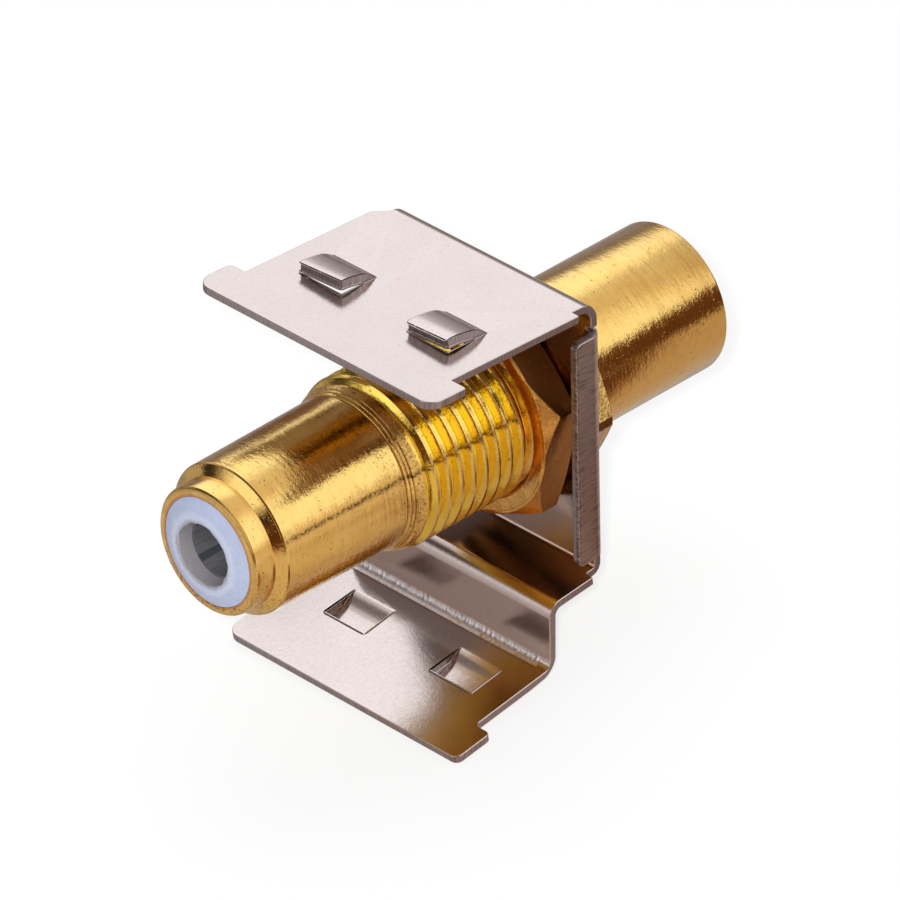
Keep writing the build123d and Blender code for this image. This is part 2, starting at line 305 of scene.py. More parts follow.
def rounded_path(points, radii, step=0.002):
    """Samples of an open line whose corners are arcs: length so far, y, z and direction."""
    points = [np.array(p, float) for p in points]
    runs = [unit(b - a) for a, b in zip(points[:-1], points[1:])]
    headings = [atan2(run[1], run[0]) for run in runs]
    turns = [(b - a + pi) % (2 * pi) - pi for a, b in zip(headings[:-1], headings[1:])]
    cuts = [r * tan(abs(turn) / 2) for r, turn in zip(radii, turns)]
    heading, lengths = [], []
    for k, (a, b) in enumerate(zip(points[:-1], points[1:])):
        start = cuts[k - 1] if k > 0 else 0
        end = cuts[k] if k < len(cuts) else 0
        heading.append((headings[k], headings[k]))
        lengths.append(np.linalg.norm(b - a) - start - end)
        if k < len(cuts):
            heading.append((headings[k], headings[k] + turns[k]))
            lengths.append(radii[k] * abs(turns[k]))
    knots = np.concatenate([[0], np.cumsum(lengths)])
    s = np.arange(0, knots[-1] + step, step)
    s = np.minimum(s, knots[-1])
    span = np.clip(np.searchsorted(knots, s, side="right") - 1, 0, len(lengths) - 1)
    share = (s - knots[span]) / np.array(lengths)[span]
    ends = np.unwrap(np.array(heading).ravel()).reshape(-1, 2)
    angle = ends[span, 0] + share * (ends[span, 1] - ends[span, 0])
    middle = (angle[1:] + angle[:-1]) / 2
    pieces = np.diff(s)
    y = points[0][0] + np.concatenate([[0], np.cumsum(pieces * np.cos(middle))])
    z = points[0][1] + np.concatenate([[0], np.cumsum(pieces * np.sin(middle))])
    return s, y, z, angle, knots


def rounded_loop(corners, segments=8):
    """Closed outline with an arc at each corner (a, b, radius, edge above, edge below).

    Gives rows of a, b, outward normal and both edge sizes. The outline runs
    counter-clockwise round the material, so the normal is the heading turned by -90 degrees.
    """
    data = np.array([c[:3] for c in corners], float)
    here, radius = data[:, :2], data[:, 2]
    incoming = unit(here - np.roll(here, 1, axis=0))
    outgoing = np.roll(incoming, -1, axis=0)
    start = np.arctan2(incoming[:, 1], incoming[:, 0])
    turn = (np.arctan2(outgoing[:, 1], outgoing[:, 0]) - start + pi) % (2 * pi) - pi
    cut = radius * np.tan(np.abs(turn) / 2)
    way = np.sign(turn)
    centre = here - incoming * cut[:, None]
    centre = centre + (way * radius)[:, None] * np.stack([-incoming[:, 1], incoming[:, 0]], axis=1)
    share = np.linspace(0, 1, segments + 1)
    angle = start[:, None] + share[None] * turn[:, None]
    normal = np.stack([np.sin(angle), -np.cos(angle)], axis=-1)
    place = centre[:, None] + (way * radius)[:, None, None] * normal
    edges = np.repeat(np.array([c[3:] for c in corners], float)[:, None], segments + 1, axis=1)
    return np.concatenate([place, normal, edges], axis=-1).reshape(-1, 6)


def divided(loop, stations, axis):
    """The outline with one more point wherever a straight run crosses a station."""
    after = np.roll(loop, -1, axis=0)
    run = after - loop
    straight = (np.abs(run[:, 1 - axis]) < 1e-7) & (np.abs(run[:, axis]) > 1e-7)
    step = np.where(straight, run[:, axis], 1)
    share = (np.asarray(stations)[None] - loop[:, None, axis]) / step[:, None]
    hit = (share > 1e-4) & (share < 1 - 1e-4) & straight[:, None]
    places = np.sort(np.concatenate([np.arange(len(loop)), np.nonzero(hit)[0] + share[hit]]))
    closed = np.vstack([loop, loop[:1]])
    count = np.arange(len(loop) + 1)
    return np.stack([np.interp(places, count, closed[:, k]) for k in range(loop.shape[1])], axis=1)


class FoldedSheet:
    """The bracket's blank, flat in (s, x), and its place once it is folded.

    s runs along the sheet's middle line from the upper leaf's free edge to the lower
    leaf's, and x across it.
    """

    def __init__(self, sizes):
        self.half = sizes.sheet / MM / 2
        self.rise = sizes.tab_rise / MM
        self.edge = sizes.edge / MM
        self.wide, self.strip, self.ear = (v / MM for v in (sizes.half_width, sizes.strip, sizes.ear))
        plate = -self.half
        ledge_end = LEDGE_HEIGHT + (RISER_Y - plate) * tan(LEDGE_TILT)
        top = UPPER_HEIGHT - self.half
        self.s, self.y, self.z, self.angle, self.knots = rounded_path(
            [
                (UPPER_FRONT, top - UPPER_FRONT * tan(UPPER_TILT)),
                (plate, top - plate * tan(UPPER_TILT)),
                (plate, LEDGE_HEIGHT),
                (RISER_Y, ledge_end),
                (RISER_Y, LOWER_DEPTH),
                (LOWER_FRONT, LOWER_DEPTH + (LOWER_FRONT - RISER_Y) * tan(LOWER_TILT)),
            ],
            [0.7 + self.half, 0.2 + self.half, 0.4 + self.half, 0.5 + self.half],
        )
        self.plate_start = self.knots[2] + self.z[np.searchsorted(self.s, self.knots[2])]
        self.fold_x = self.wide - FLAP_BEND - 2 * self.half
        radius = FLAP_BEND + self.half
        self.flap_x = self.fold_x + radius * pi / 2 + FLAP_DEPTH - self.half - radius
        self.tabs = [
            (self.upper(-6.26), self.upper(-8.72), -5.33, -2.38, 0.09),
            (self.upper(-6.15), self.upper(-8.93), 2.47, 5.25, 0.08),
            (self.lower(-5.6), self.lower(-7.9), -5.2, -2.3, 0.0),
            (self.lower(-5.6), self.lower(-7.9), 2.42, 5.35, 0.0),
        ]
        reach = np.linspace(0, TAB_REACH[-1], 601)
        slope = np.interp(reach, TAB_REACH, TAB_SLOPE)
        lift = np.concatenate([[0], np.cumsum((slope[1:] + slope[:-1]) / 2 * np.diff(reach))])
        self.reach, self.lift = reach, lift / lift.max() * self.rise

    def upper(self, y):
        """Where on the blank the upper leaf's y lies."""
        return (y - UPPER_FRONT) / cos(UPPER_TILT)

    def lower(self, y):
        """Where on the blank the lower leaf's y lies."""
        return self.knots[-1] - (y - LOWER_FRONT) / cos(LOWER_TILT)

    def plate(self, z):
        """Where on the blank the plate's z lies."""
        return self.plate_start - z

    def tab_at(self, blank, slack=0.02):
        """Number of the tab that a place on the blank belongs to, and -1 outside the tabs."""
        found = np.full(len(blank), -1)
        for k, (hinge, front, left, right, _) in enumerate(self.tabs):
            low, high = sorted((hinge, front))
            in_s = (blank[:, 0] > low - slack) & (blank[:, 0] < high + slack)
            found[in_s & (blank[:, 1] > left - slack) & (blank[:, 1] < right + slack)] = k
        return found

    def place(self, blank, depth, tab):
        """Folded place of blank points at a depth from the middle surface, outwards.

        Middle surface: the path at s, lifted along its normal on a tab, and swung through
        an arc about a vertical axis on a side flap. The lower bend is thinner outside.
        """
        s, x = blank[:, 0], blank[:, 1]
        y, z, angle = (np.interp(s, self.s, v) for v in (self.y, self.z, self.angle))
        normal_y, normal_z = -np.sin(angle), np.cos(angle)
        tangent_y, tangent_z = np.cos(angle), np.sin(angle)

        lift, slope = np.zeros_like(s), np.zeros_like(s)
        for k, (hinge, front, left, right, twist) in enumerate(self.tabs):
            way = np.sign(front - hinge)
            t = (s - hinge) * way
            gain = 1 + twist * (x - (left + right) / 2)
            on = tab == k
            before, height, after = (
                np.interp(t + step, self.reach, self.lift) for step in (-0.01, 0, 0.01)
            )
            rate = (after - before) / 0.02
            lift = np.where(on, height * gain, lift)
            slope = np.where(on, rate * gain * way, slope)

        depth = np.where(depth > 0, depth * self.thinning(y, z, normal_y, normal_z), depth)
        swell = 1 + 0.45 * np.clip(lift / self.rise, 0, 1)
        depth = np.where((tab >= 0) & (depth < 0), depth * swell, depth)
        lean = np.hypot(1, slope)
        along = -depth * slope / lean
        out = lift + depth / lean

        flap = (np.abs(x) > self.fold_x) & (s > self.plate(FLAP_TOP + RELIEF / 2)) & (
            s < self.plate(FLAP_BOTTOM - RELIEF / 2)
        )
        radius = FLAP_BEND + self.half
        beyond = np.where(flap, np.abs(x) - self.fold_x, 0)
        swing = np.minimum(beyond / radius, pi / 2)
        straight = np.maximum(beyond - radius * pi / 2, 0)
        side = np.sign(x)
        fold_x = self.fold_x + radius * np.sin(swing) + np.cos(swing) * straight
        fold_y = -radius * (1 - np.cos(swing)) - np.sin(swing) * straight
        new_x = np.where(flap, side * (fold_x + np.sin(swing) * out), x)
        bent = np.where(flap, fold_y + np.cos(swing) * out, out)
        return np.stack(
            [
                new_x,
                y + normal_y * bent + tangent_y * along,
                z + normal_z * bent + tangent_z * along,
            ],
            axis=1,
        )

    def thinning(self, y, z, normal_y, normal_z):
        """Share of the half thickness left outside the middle surface at the coined bend.

        The outer face there is an arc of larger radius that touches both outer faces.
        """
        slope = LOWER_TILT
        corner_y = RISER_Y + self.half
        corner_z = LOWER_DEPTH + self.half * tan(slope) - self.half / cos(slope)
        centre_y = corner_y - COINED_BEND
        centre_z = corner_z + COINED_BEND * (1 - sin(slope)) / cos(slope)
        off_y, off_z = y - centre_y, z - centre_z
        b = off_y * normal_y + off_z * normal_z
        root = np.sqrt(np.maximum(b * b - off_y**2 - off_z**2 + COINED_BEND**2, 0)) - b
        at = np.arctan2(off_z + root * normal_z, off_y + root * normal_y)
        within = (at < 0) & (at > slope - pi / 2) & (z < LOWER_DEPTH + 3)
        return np.where(within & (root < self.half), root / self.half, 1)

    def outlines(self):
        """The blank's outer edge, the slits round the tabs and the neck's hole."""
        e = self.edge
        up, low, flat = self.upper, self.lower, self.plate
        ear_up, ear_low = up(UPPER_FRONT + 2.45), low(LOWER_FRONT + 2.4)
        shoulder = self.knots[4] + 0.42

        def side(x, strip, front, rear, low_front, low_rear, first, second):
            return [
                (0, x * self.ear, front, e, e),
                (ear_up, x * self.ear, rear, e, e),
                (ear_up, x * self.wide, 0.12, e, e),
                (first, x * self.wide, 0.07, e, e),
                (second, x * strip, 0.07, e, e),
                (flat(FLAP_TOP + RELIEF), x * strip, 0.07, e, e),
                (flat(FLAP_TOP + RELIEF), x * self.fold_x, 0.05, e, e),
                (flat(FLAP_TOP), x * self.fold_x, 0.05, e, e),
                (flat(FLAP_TOP), x * self.flap_x, 0.35, e, e),
                (flat(FLAP_BOTTOM), x * self.flap_x, 0.35, e, e),
                (flat(FLAP_BOTTOM), x * self.fold_x, 0.05, e, e),
                (flat(FLAP_BOTTOM - RELIEF), x * self.fold_x, 0.05, e, e),
                (flat(FLAP_BOTTOM - RELIEF), x * strip, 0.07, e, e),
                (shoulder, x * strip, 0.07, e, e),
                (shoulder + 0.02, x * self.wide, 0.07, e, e),
                (ear_low, x * self.wide, 0.30, e, e),
                (ear_low, x * self.ear, low_rear, e, e),
                (self.knots[-1], x * self.ear, low_front, e, e),
            ]

        right = side(1, self.strip, 0.8, 0.12, 0.4, 0.3, up(-1.77), up(-1.75))
        left = side(-1, self.strip - 0.15, 1.0, 0.35, 0.8, 0.35, up(-1.94), up(-1.2))
        loops = [rounded_loop(left + right[::-1])]
        gap, soft = 0.04, 0.10
        for k, (hinge, front, x0, x1, _) in enumerate(self.tabs):
            way = np.sign(front - hinge)
            rim = e if k < 2 else soft
            loop = [
                (hinge, x0 - gap, 0.015, rim, rim),
                (front + way * gap, x0 - gap, 0.03, rim, rim),
                (front + way * gap, x1 + gap, 0.03, rim, rim),
                (hinge, x1 + gap, 0.015, rim, rim),
                (hinge, x1, 0.015, e, e),
                (front, x1, 0.14, soft, soft),
                (front, x0, 0.14, soft, soft),
                (hinge, x0, 0.015, e, e),
            ]
            loops.append(rounded_loop(loop if way > 0 else loop[::-1]))
        turn = np.linspace(0, -2 * pi, 96, endpoint=False)
        hole = np.stack([np.cos(turn), np.sin(turn)], axis=1)
        edges = np.full((len(turn), 2), e)
        centre = np.array([self.plate(0), 0])
        loops.append(np.concatenate([centre + NECK_HOLE * hole, -hole, edges], axis=1))
        return loops

    def stations(self):
        """Lines across the blank where it bends: (axis, where, low and high limit across)."""
        lines = []
        for k in (1, 3, 5, 7):
            count = 18 if k != 3 else 10
            for s in np.linspace(self.knots[k], self.knots[k + 1], count):
                lines.append((0, s, -9, 9))
        for hinge, front, left, right, _ in self.tabs:
            way = np.sign(front - hinge)
            for t in np.linspace(0.06, abs(front - hinge) - 0.17, 22):
                lines.append((0, hinge + way * t, left, right))
        for side in (-1, 1):
            for x in np.linspace(self.fold_x + 0.02, self.fold_x + (FLAP_BEND + self.half) * pi / 2, 13):
                lines.append((1, side * x, self.plate(FLAP_TOP) - 0.01, self.plate(FLAP_BOTTOM) + 0.01))
        return lines

    def parts(self):
        """Both faces and the edge all round, as parts for make_piece."""
        lines = self.stations()
        loops = self.outlines()
        along = np.unique([line[1] for line in lines if line[0] == 0])
        across = np.unique([line[1] for line in lines if line[0] == 1])
        loops = [divided(divided(loop, along, 0), across, 1) for loop in loops]
        parts, blanks = [], []
        for side in (1, -1):
            part, blank = self.face(loops, lines, side)
            parts.append(part)
            blanks.append(blank)
        for loop in loops:
            part, blank = self.rim(loop)
            parts.append(part)
            blanks.append(blank)
        return parts, np.concatenate(blanks)

    def normals(self, blank, depth, tab, side):
        """Normals of the folded surface, from the cross product of its two slopes."""
        step = 0.004
        ds = np.array([step, 0])
        dx = np.array([0, step])
        slope_s = self.place(blank + ds, depth, tab) - self.place(blank - ds, depth, tab)
        slope_x = self.place(blank + dx, depth, tab) - self.place(blank - dx, depth, tab)
        found = unit(np.cross(slope_x, slope_s))
        angle = np.interp(blank[:, 0], self.s, self.angle)
        outward = np.stack([0 * angle, -np.sin(angle), np.cos(angle)], axis=1)
        plain = np.abs(blank[:, 1]) < self.fold_x
        flip = np.where(plain, np.sign((found * outward).sum(axis=1)), 1)
        return found * (flip * side)[:, None]

    def face(self, loops, lines, side):
        """One face of the sheet: its blank triangulated between the outlines, then folded."""
        inset = [
            np.stack([loop[:, 0] - loop[:, 2] * e, loop[:, 1] - loop[:, 3] * e], axis=1)
            for loop in loops
            for e in [loop[:, 4 if side > 0 else 5]]
        ]
        flat = np.concatenate(inset)
        starts = np.cumsum([0] + [len(loop) for loop in inset])
        edges = []
        for loop, start in zip(inset, starts):
            order = np.arange(len(loop)) + start
            edges.append(np.stack([order, np.roll(order, -1)], axis=1))
        for axis, where, low, high in lines:
            across = flat[:, 1 - axis]
            on = np.nonzero((np.abs(flat[:, axis] - where) < 1e-5) & (across > low) & (across < high))[0]
            if len(on) > 1:
                order = np.argsort(across[on])
                edges.append(np.array([[on[order[0]], on[order[-1]]]]))
        edges = np.concatenate(edges)
        found = delaunay_2d_cdt(flat.tolist(), edges.tolist(), [], 0, 1e-6, True)
        place = np.array([tuple(v) for v in found[0]])
        faces = np.array(found[2])
        middle = place[faces].mean(axis=1)
        crossings = np.zeros(len(middle), int)
        for loop in inset:
            a, b = loop, np.roll(loop, -1, axis=0)
            above = (a[None, :, 1] > middle[:, None, 1]) != (b[None, :, 1] > middle[:, None, 1])
            rise = np.where(np.abs(b[:, 1] - a[:, 1]) < 1e-12, 1e-12, b[:, 1] - a[:, 1])
            run = (b[:, 0] - a[:, 0]) / rise
            at = a[None, :, 0] + (middle[:, None, 1] - a[None, :, 1]) * run[None]
            crossings += (above & (middle[:, None, 0] < at)).sum(axis=1)
        faces = faces[crossings % 2 == 1]
        tab = self.tab_at(place)
        depth = np.full(len(place), self.half * side)
        normals = self.normals(place, depth, tab, side)
        blank = np.column_stack([place, depth])
        return (self.place(place, depth, tab), faces, normals), blank

    def rim(self, loop):
        """The cut edge along one outline: rounded over at both faces, straight between them."""
        turns = np.radians([0, 30, 60, 90])
        rows, normals, blanks = [], [], []
        tab = self.tab_at(loop[:, :2])
        for side in (1, -1):
            e = loop[:, 4 if side > 0 else 5]
            base, way = loop[:, :2], loop[:, 2:4]
            step = way * 0.004
            mid = np.zeros(len(loop))
            outward = unit(self.place(base + step, mid, tab) - self.place(base - step, mid, tab))
            half = [
                (base - way * (e * (1 - sin(a)))[:, None], self.half - e * (1 - cos(a)), a)
                for a in turns
            ]
            for place, height, a in half if side > 0 else half[::-1]:
                rows.append(self.place(place, side * height, tab))
                surface = self.normals(place, side * height, tab, side)
                normals.append(unit(cos(a) * surface + sin(a) * outward))
                blanks.append(np.column_stack([place, side * height]))
        close = [np.concatenate([v, v[:1]]) for v in rows]
        facing = [np.concatenate([v, v[:1]]) for v in normals]
        blank = np.concatenate([np.concatenate([v, v[:1]]) for v in blanks])
        return grid_part(np.stack(close), np.stack(facing)), blank


# ---- Finishes ----

class Term:
    """A socket's value in Python's own operators: each one adds its Math node."""

    def __init__(self, finish, socket):
        self.finish, self.socket = finish, socket

    def math(self, operation, *others):
        values = {k: v for k, v in enumerate((self, *others))}
        return self.finish.node("ShaderNodeMath", {"operation": operation}, values)

    def __add__(self, other):
        return self.math("ADD", other)

    def __sub__(self, other):
        return self.math("SUBTRACT", other)

    def __mul__(self, other):
        return self.math("MULTIPLY", other)

    def __truediv__(self, other):
        return self.math("DIVIDE", other)

    __radd__ = __add__
    __rmul__ = __mul__

    def __rsub__(self, other):
        return self.finish.node("ShaderNodeMath", {"operation": "SUBTRACT"}, {0: other, 1: self})

    def __rtruediv__(self, other):
        return self.finish.node("ShaderNodeMath", {"operation": "DIVIDE"}, {0: other, 1: self})

    def between(self, low, high):
        """0 below low, 1 above high, and a smooth step between them; low may be the larger."""
        values = {"Value": self, "From Min": low, "From Max": high}
        return self.finish.node("ShaderNodeMapRange", {"interpolation_type": "SMOOTHSTEP"}, values)

    def bump(self, centre, width):
        """1 at centre, falling smoothly to 0 at width on both sides."""
        return (self - centre).math("ABSOLUTE").between(width, 0)


class Finish:
    """The nodes of one material, or of the world."""

    def __init__(self, name, world=False):
        self.kind = "World" if world else "Material"
        self.material = (bpy.data.worlds if world else bpy.data.materials).new(name)
        self.material.use_nodes = True
        self.tree = self.material.node_tree
        self.tree.nodes.clear()

    def node(self, kind, settings=None, values=None, out=0):
        """Adds a node: its settings first, then the values or links of its sockets."""
        made = self.tree.nodes.new(kind)
        for key, value in (settings or {}).items():
            setattr(made, key, value)
        for key, value in (values or {}).items():
            if isinstance(value, Term):
                self.tree.links.new(value.socket, made.inputs[key])
            else:
                made.inputs[key].default_value = value
        return Term(self, made.outputs[out]) if len(made.outputs) else made

    def mix(self, share, low, high):
        """Colour mix: low where share is 0, high where it is 1."""
        tints = [v if isinstance(v, Term) else (*v, 1) for v in (low, high)]
        return self.node("ShaderNodeMix", {"data_type": "RGBA"}, {0: share, 6: tints[0], 7: tints[1]}, 2)

    def split(self, vector):
        """The three numbers of a vector."""
        made = self.node("ShaderNodeSeparateXYZ", None, {0: vector})
        return [Term(self, socket) for socket in made.socket.node.outputs]

    def rays(self):
        """Which kind of ray sees the surface: camera, glossy and transmission, each 0 or 1."""
        kinds = self.node("ShaderNodeLightPath").socket.node.outputs
        return [Term(self, kinds[f"Is {kind} Ray"]) for kind in ("Camera", "Glossy", "Transmission")]

    def join(self, x, y, z):
        """A vector from three numbers."""
        return self.node("ShaderNodeCombineXYZ", None, {0: x, 1: y, 2: z})

    def noise(self, vector, scale, detail=2.0, roughness=0.5):
        """Soft random numbers about 0.5."""
        values = {"Vector": vector, "Scale": scale, "Detail": detail, "Roughness": roughness}
        return self.node("ShaderNodeTexNoise", None, values)

    def place(self):
        """Object coordinates in millimetres."""
        at = self.node("ShaderNodeTexCoord", None, None, 3)
        return self.node("ShaderNodeVectorMath", {"operation": "SCALE"}, {0: at, "Scale": 1 / MM})

    def normal(self):
        """The surface's own normal."""
        return self.node("ShaderNodeNewGeometry", None, None, 1)

    def lean(self, normal, way, amount):
        """The normal tipped towards a direction by an angle in radians."""
        push = self.node("ShaderNodeVectorMath", {"operation": "SCALE"}, {0: way, "Scale": amount})
        both = self.node("ShaderNodeVectorMath", {"operation": "ADD"}, {0: normal, 1: push})
        return self.node("ShaderNodeVectorMath", {"operation": "NORMALIZE"}, {0: both})

    def raised(self, height, distance, strength=1.0, normal=None):
        """Normal from a height; distance is in millimetres."""
        values = {"Height": height, "Distance": distance * MM, "Strength": strength}
        if normal is not None:
            values["Normal"] = normal
        return self.node("ShaderNodeBump", None, values)

    def either(self, share, low, high):
        """Shader mix: low where share is 0, high where it is 1."""
        return self.node("ShaderNodeMixShader", None, {0: share, 1: low, 2: high})

    def end(self, shader):
        """Connects the shader to the output."""
        self.node("ShaderNodeOutput" + self.kind, None, {"Surface": shader})
        return self.material

    def surface(self, values):
        """Ends with the common shader, from its sockets' values or links."""
        return self.end(self.node("ShaderNodeBsdfPrincipled", None, values))


def dyed(tint, *gains):
    """A colour times one gain, or times a gain for each of its channels, and 1 at most."""
    return [min(1, v * k) for v, k in zip(tint, gains if len(gains) == 3 else gains * 3)]


def gold_finish(name, tint, stain_and_painted_shade, neck):
    """Gold flash over turned brass.

    Fine turning lines run round the axis: each leans the surface a little along the axis
    and round it. Brown specks darken it. The body, which has the neck, also has a dark
    line along its barrel that is a painted reflection, a patina on the cone in front of
    the thread, in its grooves and on the rim, darker specks on its underside behind the
    nose, a darker collar behind the plate, a copper edge round the insulator and thread
    roots tinted yellower as a painted reflection. The nut has marks that run outwards on
    its cones, and its flats are painted darker as shade, the flat that faces upwards most.
    """
    f = Finish(name)
    at = f.place()
    x, y, z = f.split(at)
    radius = (x * x + z * z).math("SQRT")
    side, top = x / radius, z / radius
    lines = f.noise(f.join(side * 0.5, y * 5.5, top * 0.5), 1.0, 4.0, 0.75)
    strokes = f.noise(f.join(side * 7.0, y * 12.0, top * 7.0), 1.0, 2.0, 0.6)
    other = f.noise(f.join(side * 4.0, y * 7.5 + 40.0, top * 4.0), 1.0, 2.0, 0.6)
    broad = f.noise(f.join(side * 1.4, y * 1.1, top * 1.4), 1.0, 3.0, 0.6)
    cloud = f.noise(at, 0.6, 4.0, 0.65)
    mottle = f.noise(at, 2.4, 4.0, 0.75)
    dust = f.noise(at, 6.5, 2.0, 0.6)
    grit = f.noise(at, 4.2, 3.0, 0.8)
    crowd = f.noise(at, 0.8, 2.0, 0.5)
    dirt_and_painted_shade = dust.between(0.64, 0.74) * crowd.between(0.42, 0.62) * 0.8
    dirt_and_painted_shade = dirt_and_painted_shade + mottle.between(0.52, 0.74) * strokes.between(0.3, 0.6) * 0.26
    base = f.mix(cloud.between(0.3, 0.72) * 0.5, tint, dyed(tint, 0.95, 0.84, 0.68))
    lined = lines.between(0.46, 0.72) * (0.32 if neck else 0.15)
    base = f.mix(lined, base, dyed(tint, 0.78, 0.62, 0.45))
    if neck:
        wander = (f.noise(at, 0.9, 2.0, 0.6) - 0.5) * 0.07
        # Painted reflection: a thin dark line along the front barrel and over the thread.
        line = (z.math("ARCTAN2", x) - 0.36 - wander).math("ABSOLUTE").between(0.052, 0.0)
        line = line * y.between(-2.5, -3.5) * y.between(-19.3, -18.0)
        dirt_and_painted_shade = dirt_and_painted_shade + line * f.noise(at, 6.0, 3.0, 0.7).between(0.34, 0.60) * 1.1
        cone = y.bump(-10.15, 0.75)
        worn = cone * 0.8 + y.bump(-14.0, 4.0) * cloud.between(0.5, 0.75) * 0.35
        dirt_and_painted_shade = dirt_and_painted_shade + dust.between(0.48, 0.66) * (cone * 0.55 + y.bump(-11.4, 1.4) * 0.25)
        first, second, third = (y.bump(groove, 0.05) for groove in GROOVES)
        dirt_and_painted_shade = dirt_and_painted_shade + (first + second + third) * broad.between(0.35, 0.6) * 0.7
        collar = radius.between(4.6, 4.9) * y.between(-0.2, 0.0)
        dirt_and_painted_shade = dirt_and_painted_shade + collar * (0.25 + dust.between(0.40, 0.62) * 0.45)
        under = y.between(-16.8, -18.2) * z.between(0.5, -2.6)
        dirt_and_painted_shade = dirt_and_painted_shade + under * dust.between(0.49, 0.64) * 0.55
        rim = y.between(NOSE_FACE + 0.15, NOSE_FACE + 0.01)
        dirt_and_painted_shade = dirt_and_painted_shade + rim * cloud.between(0.2, 0.6) * 0.25
        copper = y.between(NOSE_FACE + 0.1, NOSE_FACE + 0.01) * radius.between(3.14, 3.06)
        base = f.mix(copper * 0.85, base, (0.80, 0.33, 0.12))
        # Painted reflection: the thread's roots and flanks are tinted yellower.
        painted_root_reflection = y.between(-9.9, -9.5) * y.between(-2.5, -3.0) * radius.between(4.73, 4.66)
        base = f.mix(painted_root_reflection * 0.8, base, dyed(tint, 1.05, 1.16, 0.45))
    else:
        marks = f.noise(f.join(side * 26.0, radius * 0.6, top * 26.0), 1.0, 3.0, 0.7)
        flats = (y - (radius - 5.68) * 0.78 + 2.70).between(0.0, 0.05) * radius.between(5.5, 5.56)
        upper = (x * 0.677 + z * 0.736).between(5.50, 5.58)
        worn = (1 - flats) * 0.6
        # Painted shade: the flats are darkened, the flat that faces upwards most.
        dirt_and_painted_shade = dirt_and_painted_shade + flats * (0.52 + upper * 0.44) * cloud.between(0.0, 0.40)
        dirt_and_painted_shade = dirt_and_painted_shade + (1 - flats) * marks.between(0.52, 0.72) * 0.35
    dirt_and_painted_shade = dirt_and_painted_shade.math("MINIMUM", 1.0)
    # Painted reflection and painted shade share this brown with the specks, marks and patina.
    base = f.mix(dirt_and_painted_shade * 0.9, base, stain_and_painted_shade)
    rough = 0.06 + broad * 0.07 + strokes * 0.04 + dirt_and_painted_shade * 0.22 + worn * 0.14
    around = f.join(0 - top, 0.0, side)
    free = 1 - y.between(-18.8, -18.95) * 0.65
    leant = f.lean(f.normal(), around, (strokes - 0.5) * free * 0.18)
    leant = f.lean(leant, (0.0, 1.0, 0.0), ((lines - 0.5) * 0.15 + (other - 0.5) * 0.10) * free)
    height = dirt_and_painted_shade * -0.6 + dust * (0.2 + worn) + grit * free * 0.7
    return f.surface({
        "Base Color": base, "Metallic": 1.0, "Roughness": rough,
        "Normal": f.raised(height, 0.016, 1.0, leant), "Coat Weight": 0.12, "Coat Roughness": 0.10,
    })


